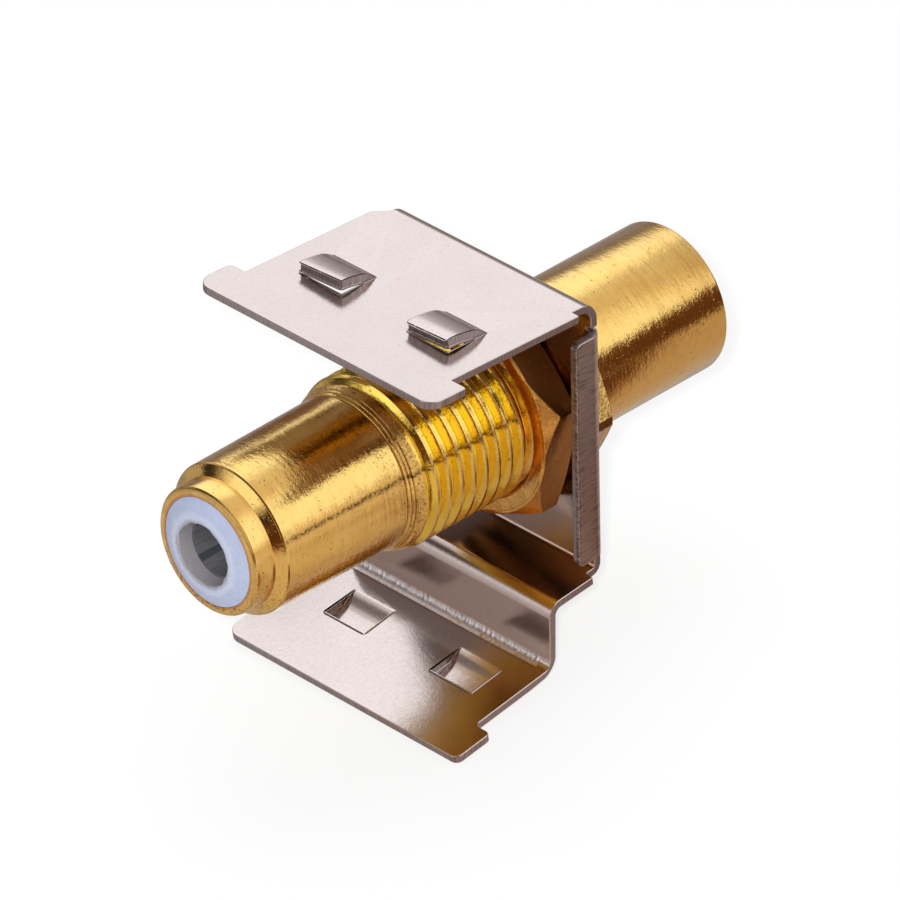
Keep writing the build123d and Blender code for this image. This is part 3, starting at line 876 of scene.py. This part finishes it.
def steel_finish(name, steel, sheared, sheet):
    """Satin nickel on folded sheet; the cut edge is bare, brown-grey and finely scored.

    The pattern lies on the flat blank (s, x, depth), so it follows every fold. Each side
    flange is scored across on its outer face, with a painted burr shadow, a dark dashed
    line, beside its edge. The coined bend has a pressed band, rougher and rippled, whose
    bright colour is a painted highlight, with a thin line of painted shade just past it on
    the inner side, and the upper leaf's underside is painted darker as shade.
    """
    f = Finish(name)
    at = f.place()
    s, x, depth = f.split(f.node("ShaderNodeAttribute", {"attribute_name": "blank"}, None, 1))
    half, edge = sheet.half, sheet.edge
    cut = depth.math("ABSOLUTE").between(half - edge * 0.35, half - edge * 1.3)
    grain = f.noise(f.join(s * 4.5, x * 4.5, depth), 1.0, 4.0, 0.65)
    fine = f.noise(f.join(s, x, depth), 11.0, 2.0, 0.6)
    cloud = f.noise(at, 0.4, 3.0, 0.5)
    scores = f.noise(f.join(s * 12.0, x * 12.0, depth * 0.9), 1.0, 3.0, 0.6)
    across = x.math("ABSOLUTE")
    flange = across.between(sheet.fold_x + 0.35, sheet.fold_x + 0.6) * depth.between(0.0, 0.05)
    flange = flange * s.bump(sheet.plate(0), 9.0).between(0.15, 0.20)
    drag = f.noise(f.join(s * 11.0, x * 0.9, 0.0), 1.0, 3.0, 0.65)
    lip = flange * across.between(sheet.flap_x - 0.16, sheet.flap_x - 0.08)
    # Painted shadow of the burr: a dark dashed line beside the flange's edge.
    painted_burr_shadow = lip * f.noise(f.join(s * 5.0, x * 6.0, 0.0), 1.0, 2.0, 0.5).between(0.44, 0.58) * 0.55
    low, high = sheet.knots[7], sheet.knots[8]
    inside = depth.between(0.05, -0.05)
    inner = inside * across.between(sheet.strip - 0.1, sheet.strip - 0.3)
    # The pressed band on the bend: its bright colour is a painted highlight, its roughness and ripples are
    # the pressing.
    coined = s.between(low + 0.02, low + 0.14) * s.between(high - 0.04, high - 0.12) * inner
    # Painted shade: a thin dark line on the inner side just past the lower bend.
    painted_crease_shade = s.bump(high + 0.02, 0.05) * inner
    press = f.noise(f.join(s * 1.0, x * 6.0, 0.0), 1.0, 3.0, 0.7)
    speck = f.noise(at, 4.5, 2.0, 0.6).between(0.70, 0.76) * 0.5
    # Painted shade: the underside of the upper leaf is darkened.
    under = s.between(sheet.knots[1], sheet.knots[1] - 0.5) * inside

    face = f.mix(cloud.between(0.3, 0.75), steel, dyed(steel, 0.965))
    dull = fine.between(0.35, 0.65) * grain.between(0.3, 0.7)
    face = f.mix(dull * 0.30, face, dyed(steel, 0.72))
    face = f.mix(flange * 0.5, face, (0.50, 0.43, 0.435))
    face = f.mix(flange * drag.between(0.48, 0.66) * 0.7, face, (0.20, 0.17, 0.185))
    face = f.mix(coined * press.between(0.30, 0.62) * 0.8, face, (0.86, 0.80, 0.78))
    face = f.mix(under * 0.45, face, (0.22, 0.16, 0.145))
    bare = f.mix(scores.between(0.32, 0.68), sheared, dyed(sheared, 1.75))
    base = f.mix(cut, face, bare)
    base = f.mix(painted_crease_shade * 0.7, base, (0.10, 0.07, 0.05))
    dark = (painted_burr_shadow * 0.9 + speck * (1 - cut) * 0.5).math("MINIMUM", 1.0)
    base = f.mix(dark, base, (0.05, 0.04, 0.035))
    rough = 0.10 + grain * 0.10 + fine * 0.04 + cut * 0.24 + flange * 0.18 + coined * 0.22
    height = (grain * 0.6 + fine * 0.4) * (1 - cut) + scores * cut * 3.0 + drag * flange * 4.0
    pressed = f.lean(f.normal(), (1.0, 0.0, 0.0), (press - 0.5) * coined * 1.3)
    normal = f.raised(height, 0.007, 0.8, pressed)
    return f.surface({"Base Color": base, "Metallic": 1.0, "Roughness": rough, "Normal": normal})


def plastic_finish(name, tint):
    """Cool white plastic with fine turned rings.

    It is a little translucent. Round its hole and on the hole's wall it is painted grey as
    shade, with a paler ring outside that, and behind the lip it is painted dark as shade.
    """
    f = Finish(name)
    at = f.place()
    x, y, z = f.split(at)
    radius = (x * x + z * z).math("SQRT")
    rings = f.noise(f.join(radius * 9.0, 0.0, 0.0), 1.0, 3.0, 0.6)
    cloud = f.noise(at, 1.6, 3.0, 0.65)
    uneven = radius + (cloud - 0.5) * 0.35
    base = f.mix(cloud.between(0.3, 0.7) * 0.5 + rings * 0.25, tint, dyed(tint, 0.84))
    base = f.mix(uneven.bump(2.08, 0.30) * 0.30, base, (0.60, 0.60, 0.64))
    # Painted shade: grey round the hole and on its wall.
    base = f.mix(uneven.between(1.94, 1.74) * 0.9, base, (0.27, 0.25, 0.255))
    # Painted shade: dark on every surface inside radius 2 behind the front lip.
    inside = radius.between(2.1, 2.0) * y.between(-19.85, -19.7)
    base = f.mix(inside * 0.9, base, (0.03, 0.03, 0.03))
    return f.surface({
        "Base Color": base, "Roughness": 0.20 + cloud * 0.15,
        "Normal": f.raised(rings + cloud * 0.8, 0.025, 0.6),
        "Subsurface Weight": 0.1, "Subsurface Radius": (0.4 * MM, 0.4 * MM, 0.5 * MM),
    })


def tin_finish(name, tint):
    """Dull tin on the contact, drawn along its length."""
    f = Finish(name)
    stretched = f.node("ShaderNodeMapping", None, {"Vector": f.place(), "Scale": (6, 0.8, 6)})
    drawn = f.noise(stretched, 1.0, 3.0, 0.6)
    base = f.mix(drawn.between(0.3, 0.7), tint, dyed(tint, 0.7))
    return f.surface({
        "Base Color": base, "Metallic": 0.4, "Roughness": 0.45 + drawn * 0.2,
        "Normal": f.raised(drawn, 0.01, 0.5),
    })


# ---- Pieces ----

class COUPLER_OT_bracket(bpy.types.Operator):
    """Folds the bracket from its sheet"""

    bl_idname = "coupler.bracket"
    bl_label = "Bracket"

    def execute(self, context):
        sizes = context.scene.coupler_bracket
        sheet = FoldedSheet(sizes)
        parts, blank = sheet.parts()
        material = steel_finish("satin_nickel_sheet", tuple(sizes.steel), tuple(sizes.sheared), sheet)
        make_piece("folded_bracket", parts, material, ["bracket"], [("blank", blank)])
        return {"FINISHED"}


class COUPLER_OT_body(bpy.types.Operator):
    """Turns the coupler's body and cuts its thread"""

    bl_idname = "coupler.body"
    bl_label = "Coupler body"

    def execute(self, context):
        sizes = context.scene.coupler_body
        crest, pitch, depth = sizes.thread / MM, sizes.pitch / MM, sizes.depth / MM
        nose, barrel = sizes.nose / MM, sizes.barrel / MM
        half_flats, limit, flange_back = 5.4, 6.1, 2.0
        web_front, web_back, web_bore = -7.0, -1.0, 2.4
        flat_end = pi / 6 - acos(half_flats / limit)
        brink = [flat_end - 0.004, flat_end + 0.004]
        angles = hexagon_angles(0, [-v for v in brink] + brink, 288)
        root = crest - depth
        front = [
            (NOSE_FACE, BORE),
            (NOSE_FACE, nose - 0.26),
            (NOSE_FACE + 0.04, nose - 0.12),
            (NOSE_FACE + 0.14, nose - 0.03),
            (NOSE_FACE + 0.3, nose),
            (-19.24, nose),
            (-18.93, 4.05),
            (-18.84, 4.11),
        ]
        for groove, before, floor, after, reach in (
            (GROOVES[0], 4.2, 4.16, 4.25, 0.04),
            (GROOVES[1], 4.30, 4.25, 4.325, 0.04),
            (GROOVES[2], 4.375, 4.33, 4.40, 0.03),
        ):
            front += [(groove - 0.03, before), (groove, floor), (groove + reach, after)]
        front += [(THREAD_START, cone_radius(THREAD_START))]
        middle = [(THREAD_END, root), (0.0, root)]
        face, slope = half_flats - 0.12, tan(radians(23))
        ends = (0.0, root, face, slope), (flange_back, barrel, face, slope)
        flange = hexagon_part(angles, 0, half_flats, limit, *ends)
        back = [
            (flange_back, barrel),
            (REAR_END - 0.17, barrel),
            (REAR_END - 0.05, barrel - 0.04),
            (REAR_END, barrel - 0.15),
            (REAR_END, BORE),
            (web_back, BORE),
            (web_back, web_bore),
            (web_front, web_bore),
            (web_front, BORE),
            (NOSE_FACE, BORE),
        ]
        parts = [
            turned_part(front, angles, 0.02),
            thread_part(angles, crest, root, pitch, THREAD_START, THREAD_END),
            turned_part(middle, angles),
            flange,
            turned_part(back, angles),
        ]
        material = gold_finish("gold_flash_body", tuple(sizes.gold), tuple(sizes.stain_and_painted_shade), True)
        make_piece("turned_body", parts, material, ["coupler_body"])
        return {"FINISHED"}


def cone_radius(y):
    """Radius of the cone that leads into the thread."""
    return 4.25 + (np.asarray(y, float) + 10.8) * 0.375


def thread_part(angles, crest, root, pitch, start, end, first=-9.26, land=0.065):
    """Right-hand thread: each row follows the helix y = row - pitch * turn / (2 pi).

    Its height falls from the crest's land along 60 degree flanks to the root. The cone in
    front and one behind cut it off, and rows past an end lie on that end.
    """
    flank = (crest - root) * tan(radians(30))

    def radius(y, t):
        phase = (y - first) / pitch + (t - radians(20)) / (2 * pi)
        from_crest = np.abs(phase - np.round(phase)) * pitch
        ridge = np.interp(from_crest, [land, land + flank], [crest, root])
        cone = cone_radius(y)
        ridge = np.minimum(np.maximum(ridge, cone - 1.6 * (y - start)), cone)
        return np.minimum(ridge, root + (end - y) * 1.5)

    f = land + flank
    steps = [0, land - 0.03, land - 0.012, land + 0.012, land + flank * 0.35, land + flank * 0.7]
    steps += [f - 0.03, f + 0.01, pitch / 2]
    offsets = np.array(sorted([-v for v in steps[1:-1]] + steps))
    turns = np.arange(-2, int((end - start) / pitch) + 3)
    rows = (first + turns[:, None] * pitch + offsets[None]).ravel()
    t = angles[None]
    y = np.clip(rows[:, None] - pitch * (t - radians(20)) / (2 * pi), start, end)
    r = radius(y, t)
    step = 0.003
    slope_y = (radius(y + step, t) - radius(y - step, t)) / (2 * step)
    slope_t = (radius(y, t + step) - radius(y, t - step)) / (2 * step) / r
    radial = np.stack([np.cos(t) + 0 * y, 0 * y, np.sin(t) + 0 * y], axis=-1)
    around = np.stack([-np.sin(t) + 0 * y, 0 * y, np.cos(t) + 0 * y], axis=-1)
    normals = unit(radial - slope_t[..., None] * around - slope_y[..., None] * np.array([0, 1, 0]))
    points = radial * r[..., None] + y[..., None] * np.array([0, 1, 0])
    return grid_part(points, normals)


class COUPLER_OT_nut(bpy.types.Operator):
    """Makes the hexagonal nut in front of the plate"""

    bl_idname = "coupler.nut"
    bl_label = "Clamping nut"

    def execute(self, context):
        sizes = context.scene.coupler_nut
        front, chamfer = PLATE_INSIDE - sizes.thickness / MM, 0.12
        angles = hexagon_angles(sizes.corner, (-0.007, 0.007), 240)
        outside = hexagon_part(
            angles,
            sizes.corner,
            sizes.half_flats / MM,
            99,
            (front, NUT_BORE + chamfer, 5.68, tan(radians(38))),
            (PLATE_INSIDE, NUT_BORE, 5.04, tan(radians(23))),
            0.035,
        )
        bore = [(PLATE_INSIDE, NUT_BORE), (front + chamfer, NUT_BORE), (front, NUT_BORE + chamfer)]
        inside = turned_part(bore, angles)
        stain_and_painted_shade = tuple(context.scene.coupler_body.stain_and_painted_shade)
        material = gold_finish("gold_flash_nut", tuple(sizes.gold), stain_and_painted_shade, False)
        make_piece("clamping_nut", [outside, inside], material, ["hex_nut"])
        return {"FINISHED"}


def scalloped(part, hole):
    """The part with the edge of its hole a little uneven: radius + sum of small waves in t.

    The waves are full at the hole's front edge and fade out 0.45 mm outside it and 0.4 mm
    behind the nose's face.
    """
    points, faces, normals = part
    x, y, z = points.T
    r, t = np.hypot(x, z), np.arctan2(z, x)
    waves = 0.028 * np.sin(5 * t + 0.6) + 0.022 * np.sin(9 * t + 2.1)
    waves = waves + 0.016 * np.sin(16 * t) + 0.03 * np.sin(2 * t)
    near = np.clip(1 - (r - hole) / 0.45, 0, 1) * np.clip((NOSE_FACE + 0.4 - y) / 0.4, 0, 1)
    gain = 1 + waves * near / r
    return points * np.stack([gain, np.ones_like(gain), gain], axis=1), faces, normals


class COUPLER_OT_insulators(bpy.types.Operator):
    """Makes both insulators and finishes the contact between them"""

    bl_idname = "coupler.insulators"
    bl_label = "Insulators and contact"

    def execute(self, context):
        sizes = context.scene.coupler_insulators
        outer, hole, dome = sizes.outer / MM, sizes.hole / MM, sizes.dome / MM
        angles = np.linspace(0, 2 * pi, 193)
        material = plastic_finish("cool_white_plastic", tuple(sizes.plastic))
        share = np.linspace(0, 1, 15)
        crown_r = hole + 0.1 + share * (outer - hole - 0.1)
        crown_y = NOSE_FACE - dome * (1 - 0.2 * share - 0.8 * share**2)
        tip, back, lip = NOSE_FACE - dome, -6.99, NOSE_FACE + 0.6
        front = [(back, CONTACT_BORE), (lip, CONTACT_BORE), (lip, hole)]
        front += [(tip + 0.12, hole), (tip + 0.04, hole + 0.02)]
        front += list(zip(crown_y, crown_r)) + [(back, outer), (back, CONTACT_BORE)]
        ring = scalloped(turned_part(front, angles), hole)
        make_piece("front_ring", [ring], material, ["front_insulator"])
        back, lip = -0.99, REAR_END - 0.95
        rear = [(back, CONTACT_BORE), (back, outer), (REAR_END, outer), (REAR_END, hole + 0.12)]
        rear += [(REAR_END - 0.12, hole), (lip, hole), (lip, CONTACT_BORE), (back, CONTACT_BORE)]
        ring = turned_part(rear, angles)
        make_piece("rear_ring", [ring], material, ["rear_insulator"])
        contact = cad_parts["centre_contact"]
        contact.data.materials.clear()
        contact.data.materials.append(tin_finish("dull_tin", tuple(sizes.tin)))
        return {"FINISHED"}


# ---- Stage ----

def standing(right, up, back, place):
    """Where a camera or lamp stands: its own three axes and its place in metres."""
    rows = [(*row, p) for row, p in zip(zip(right, up, back), place)]
    return Matrix(rows + [(0, 0, 0, 1)])


class COUPLER_OT_stage(bpy.types.Operator):
    """Sets the camera, the pale floor, the soft lamps and the studio that the metal reflects"""

    bl_idname = "coupler.stage"
    bl_label = "Stage"

    def execute(self, context):
        sizes = context.scene.coupler_stage
        scene = context.scene
        camera = bpy.data.objects.new("camera", bpy.data.cameras.new("camera"))
        scene.collection.objects.link(camera)
        right = (0.70443, 0.70948, -0.02041)
        up = (-0.37475, 0.39620, 0.83821)
        back = (0.60278, -0.58281, 0.54497)
        camera.matrix_world = standing(right, up, back, (0.297862, -0.291774, 0.267336))
        camera.data.sensor_width = 36
        camera.data.lens = 394.84
        camera.data.shift_x, camera.data.shift_y = -0.00044, 0.00064
        camera.data.clip_start, camera.data.clip_end = 0.01, 10
        scene.camera = camera
        scene.view_settings.view_transform = "Standard"

        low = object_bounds()[0][2]
        self.floor(low)
        self.cards(low)
        self.dome(sizes.studio)
        self.world()
        self.lamp("key", sizes.key, (-0.10, 0.10, 0.32), 0.30)
        self.lamp("front", sizes.fill, (0.2857, -0.2976, 0.2740), 0.014)
        return {"FINISHED"}

    def surface(self, name, points, faces, material, hidden=True):
        """A stage surface from its corners; a hidden one is left to reflections alone."""
        mesh = bpy.data.meshes.new(name)
        mesh.from_pydata(points, [], faces)
        mesh.materials.append(material)
        piece = bpy.data.objects.new(name, mesh)
        bpy.context.scene.collection.objects.link(piece)
        piece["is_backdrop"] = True
        if hidden:
            piece.visible_camera = False
            piece.visible_diffuse = False
            piece.visible_shadow = False
            piece.visible_transmission = False

    def shade(self, f, level, warmth):
        """Light of a level: a little cool where bright and, by warmth, brown where dim.

        Its tint goes from dim to middling over 0.05 to 0.65, and to bright over 0.65 to 1.15.
        """
        dim = f.mix(warmth, (1, 0.86, 0.93), (1, 0.38, 0.165))
        middling = f.mix(warmth, (1, 0.96, 0.97), (1, 0.86, 0.76))
        tint = f.mix(level.between(0.05, 0.65), dim, middling)
        tint = f.mix(level.between(0.65, 1.15), tint, (1, 1.06, 1.15))
        light = f.node("ShaderNodeVectorMath", {"operation": "SCALE"}, {0: tint, "Scale": level})
        return f.node("ShaderNodeEmission", None, {"Color": light, "Strength": 1.0})

    def floor(self, height):
        """White to the camera, with the part's own soft shadow; reflections see it lit unevenly.

        They see a dim strip away from the part at the right, a dim pool in front at the
        right, more light beside the part and far out at the right, and less far out at the
        left and in front.
        """
        f = Finish("pale_floor")
        camera, glossy, through = f.rays()
        x, y, _ = f.split(f.place())
        off = ((x - 13) * 0.749 - (y - 5) * 0.663).math("ABSOLUTE")
        along = (x - 13) * 0.663 + (y - 5) * 0.749
        strip = off.between(10.0, 3.5) * along.between(-5, 4) * along.between(64, 54)
        pool = ((x - 23) * (x - 23) + (y + 21) * (y + 21)).math("SQRT").between(15, 6)
        beside = x.between(8, 20) * y.between(14, 4) * y.between(-40, -16)
        ahead = y.between(-48, -76) * x.between(-12, 6)
        level = 0.50 + beside * 0.15 - strip * 0.42 - pool * 0.5 - x.between(-24, -46) * 0.22
        level = level + x.between(40, 75) * 0.22 + y.between(-20, -30) * 0.18 - ahead * 0.6
        level = level.math("MAXIMUM", 0.09 - pool * 0.055)
        seen = (camera * 0.74 + glossy + through).math("MINIMUM", 1.0)
        white = f.node("ShaderNodeEmission", None, {"Color": (1, 1, 1, 1), "Strength": 1.0})
        shown = f.either(glossy, white, self.shade(f, level, x.between(-8, 8)))
        lit = f.node("ShaderNodeBsdfDiffuse", None, {"Color": (0.9, 0.9, 0.9, 1)})
        material = f.end(f.either(seen, lit, shown))
        w = 1.5
        corners = [(-w, -w, height), (w, -w, height), (w, w, height), (-w, w, height)]
        self.surface("floor", corners, [(0, 1, 2, 3)], material, hidden=False)

    def cards(self, height):
        """Two dark cards beside the part, seen only in reflections.

        One stands behind it at the right and is a little lighter at its top. The other
        stands at the left, and fades out at its top, its foot and its ends.
        """
        f = Finish("dark_card")
        z = f.split(f.place())[2]
        material = f.end(self.shade(f, 0.11 + z.between(4, 15) * 0.05, 1.0))
        self.card("dark_card", (0.0622, 0.0388), (0.0200, 0.0980), height, 0.0170, material)
        f = Finish("left_card")
        _, y, z = f.split(f.place())
        whole = y.between(8.5, 12.0) * y.between(21, 15) * z.between(28, 15) * z.between(-8, -3)
        clear = f.node("ShaderNodeBsdfTransparent")
        material = f.end(f.either(whole, clear, self.shade(f, whole * 0.16, 0.6)))
        self.card("left_card", (-0.040, 0.008), (-0.040, 0.024), height, 0.031, material)

    def card(self, name, a, b, low, high, material):
        """An upright card from its two ends on the ground."""
        self.surface(name, [(*a, low), (*b, low), (*b, high), (*a, high)], [(0, 1, 2, 3)], material)

    def dome(self, gain):
        """A wide studio of soft light panels, seen only in reflections.

        One panel stands high at the left behind the part, with a dimmer spot in it, one
        at its right and a low one in front. Round them the light rises with height, and
        sooner at the right. It is dim in front, but for a paler field straight ahead with
        a dark round patch.
        """
        f = Finish("studio_panels")
        at = f.node("ShaderNodeTexCoord", None, None, 3)
        x, y, z = f.split(f.node("ShaderNodeVectorMath", {"operation": "NORMALIZE"}, {0: at}))

        def panel(direction, inner, outer):
            a, b, c = direction / np.linalg.norm(direction)
            return (x * a + y * b + z * c).between(cos(radians(outer)), cos(radians(inner)))

        left = panel((-0.62, 0.47, 0.63), 15, 33) * (z - (y - 0.58) * 0.4).between(0.14, 0.33)
        right = panel((0.78, 0.43, 0.45), 8, 42) * z.between(0.05, 0.30)
        ahead = panel((-0.30, -0.92, 0.24), 6, 22)
        patch = panel((0.12, -0.99, -0.02), 14, 18)
        spot = panel((-0.60, 0.58, 0.55), 3, 7)
        base = 0.18 + z.between(-0.02, 0.42) * 0.37 + z.between(0.5, 0.72) * 0.22
        base = base + x.between(0, 0.7) * z.between(0.45, 0.1) * 0.48
        base = base * (1 - y.between(-0.15, -0.45) * 0.85)
        base = base + y.between(-0.62, -0.80) * (0.72 - base) - patch * 0.80
        base = base.math("MAXIMUM", 0.03)
        level = base + left * (1.28 - base) + right * (1.17 - base)
        level = level + ahead * (1.15 - base) - spot * 0.16
        material = f.end(self.shade(f, level * gain, x.between(-0.2, 0.35)))
        u = np.linspace(0, 2 * pi, 33)[None]
        v = np.linspace(-pi / 2, pi / 2, 17)[:, None]
        points = 1.2 * np.stack([np.cos(v) * np.cos(u), np.cos(v) * np.sin(u), np.sin(v) + 0 * u], axis=-1)
        flat, faces, _ = grid_part(points, points)
        self.surface("studio", flat.tolist(), faces.tolist(), material)

    def world(self):
        """Plain soft light from all round, white to the camera and where metal or glass shows it."""
        f = Finish("studio_light", world=True)
        camera, glossy, through = f.rays()
        seen = (camera + glossy + through).math("MINIMUM", 1.0)
        plain, white = (
            f.node("ShaderNodeBackground", None, {"Color": (1, 1, 1, 1), "Strength": strength})
            for strength in (0.5, 1.0)
        )
        bpy.context.scene.world = f.end(f.either(seen, plain, white))

    def lamp(self, name, power, place, size):
        """A square soft lamp that faces the part."""
        data = bpy.data.lights.new(name, "AREA")
        data.energy = power
        data.size = size
        lamp = bpy.data.objects.new(name, data)
        lamp.visible_glossy = False
        away = unit(np.array(place))
        side = unit(np.cross((0, 1, 0), away))
        lamp.matrix_world = standing(side, np.cross(away, side), away, place)
        bpy.context.scene.collection.objects.link(lamp)


class COUPLER_PT_panel(bpy.types.Panel):
    """Sizes and finishes of the coupler, with its builders"""

    bl_idname = "COUPLER_PT_panel"
    bl_label = "Keystone coupler"
    bl_space_type = "VIEW_3D"
    bl_region_type = "UI"
    bl_category = "Coupler"

    def draw(self, context):
        for group, operator in GROUPS:
            box = self.layout.box()
            settings = getattr(context.scene, group)
            for name in settings.__annotations__:
                box.prop(settings, name)
            box.operator(operator)


GROUPS = (
    ("coupler_bracket", "coupler.bracket"),
    ("coupler_body", "coupler.body"),
    ("coupler_nut", "coupler.nut"),
    ("coupler_insulators", "coupler.insulators"),
    ("coupler_stage", "coupler.stage"),
)
SETTINGS = (BracketSizes, CouplerSizes, NutSizes, InsulatorSizes, StageSizes)
CLASSES = SETTINGS + (
    COUPLER_OT_bracket,
    COUPLER_OT_body,
    COUPLER_OT_nut,
    COUPLER_OT_insulators,
    COUPLER_OT_stage,
    COUPLER_PT_panel,
)


def register():
    for each in CLASSES:
        bpy.utils.register_class(each)
    for (name, _), settings in zip(GROUPS, SETTINGS):
        setattr(bpy.types.Scene, name, PointerProperty(type=settings))


def unregister():
    for name, _ in GROUPS:
        delattr(bpy.types.Scene, name)
    for each in reversed(CLASSES):
        bpy.utils.unregister_class(each)


def main():
    """Builds the part and its stage."""
    register()
    bpy.ops.coupler.bracket()
    bpy.ops.coupler.body()
    bpy.ops.coupler.nut()
    bpy.ops.coupler.insulators()
    bpy.ops.coupler.stage()


if __name__ == "__main__":
    main()
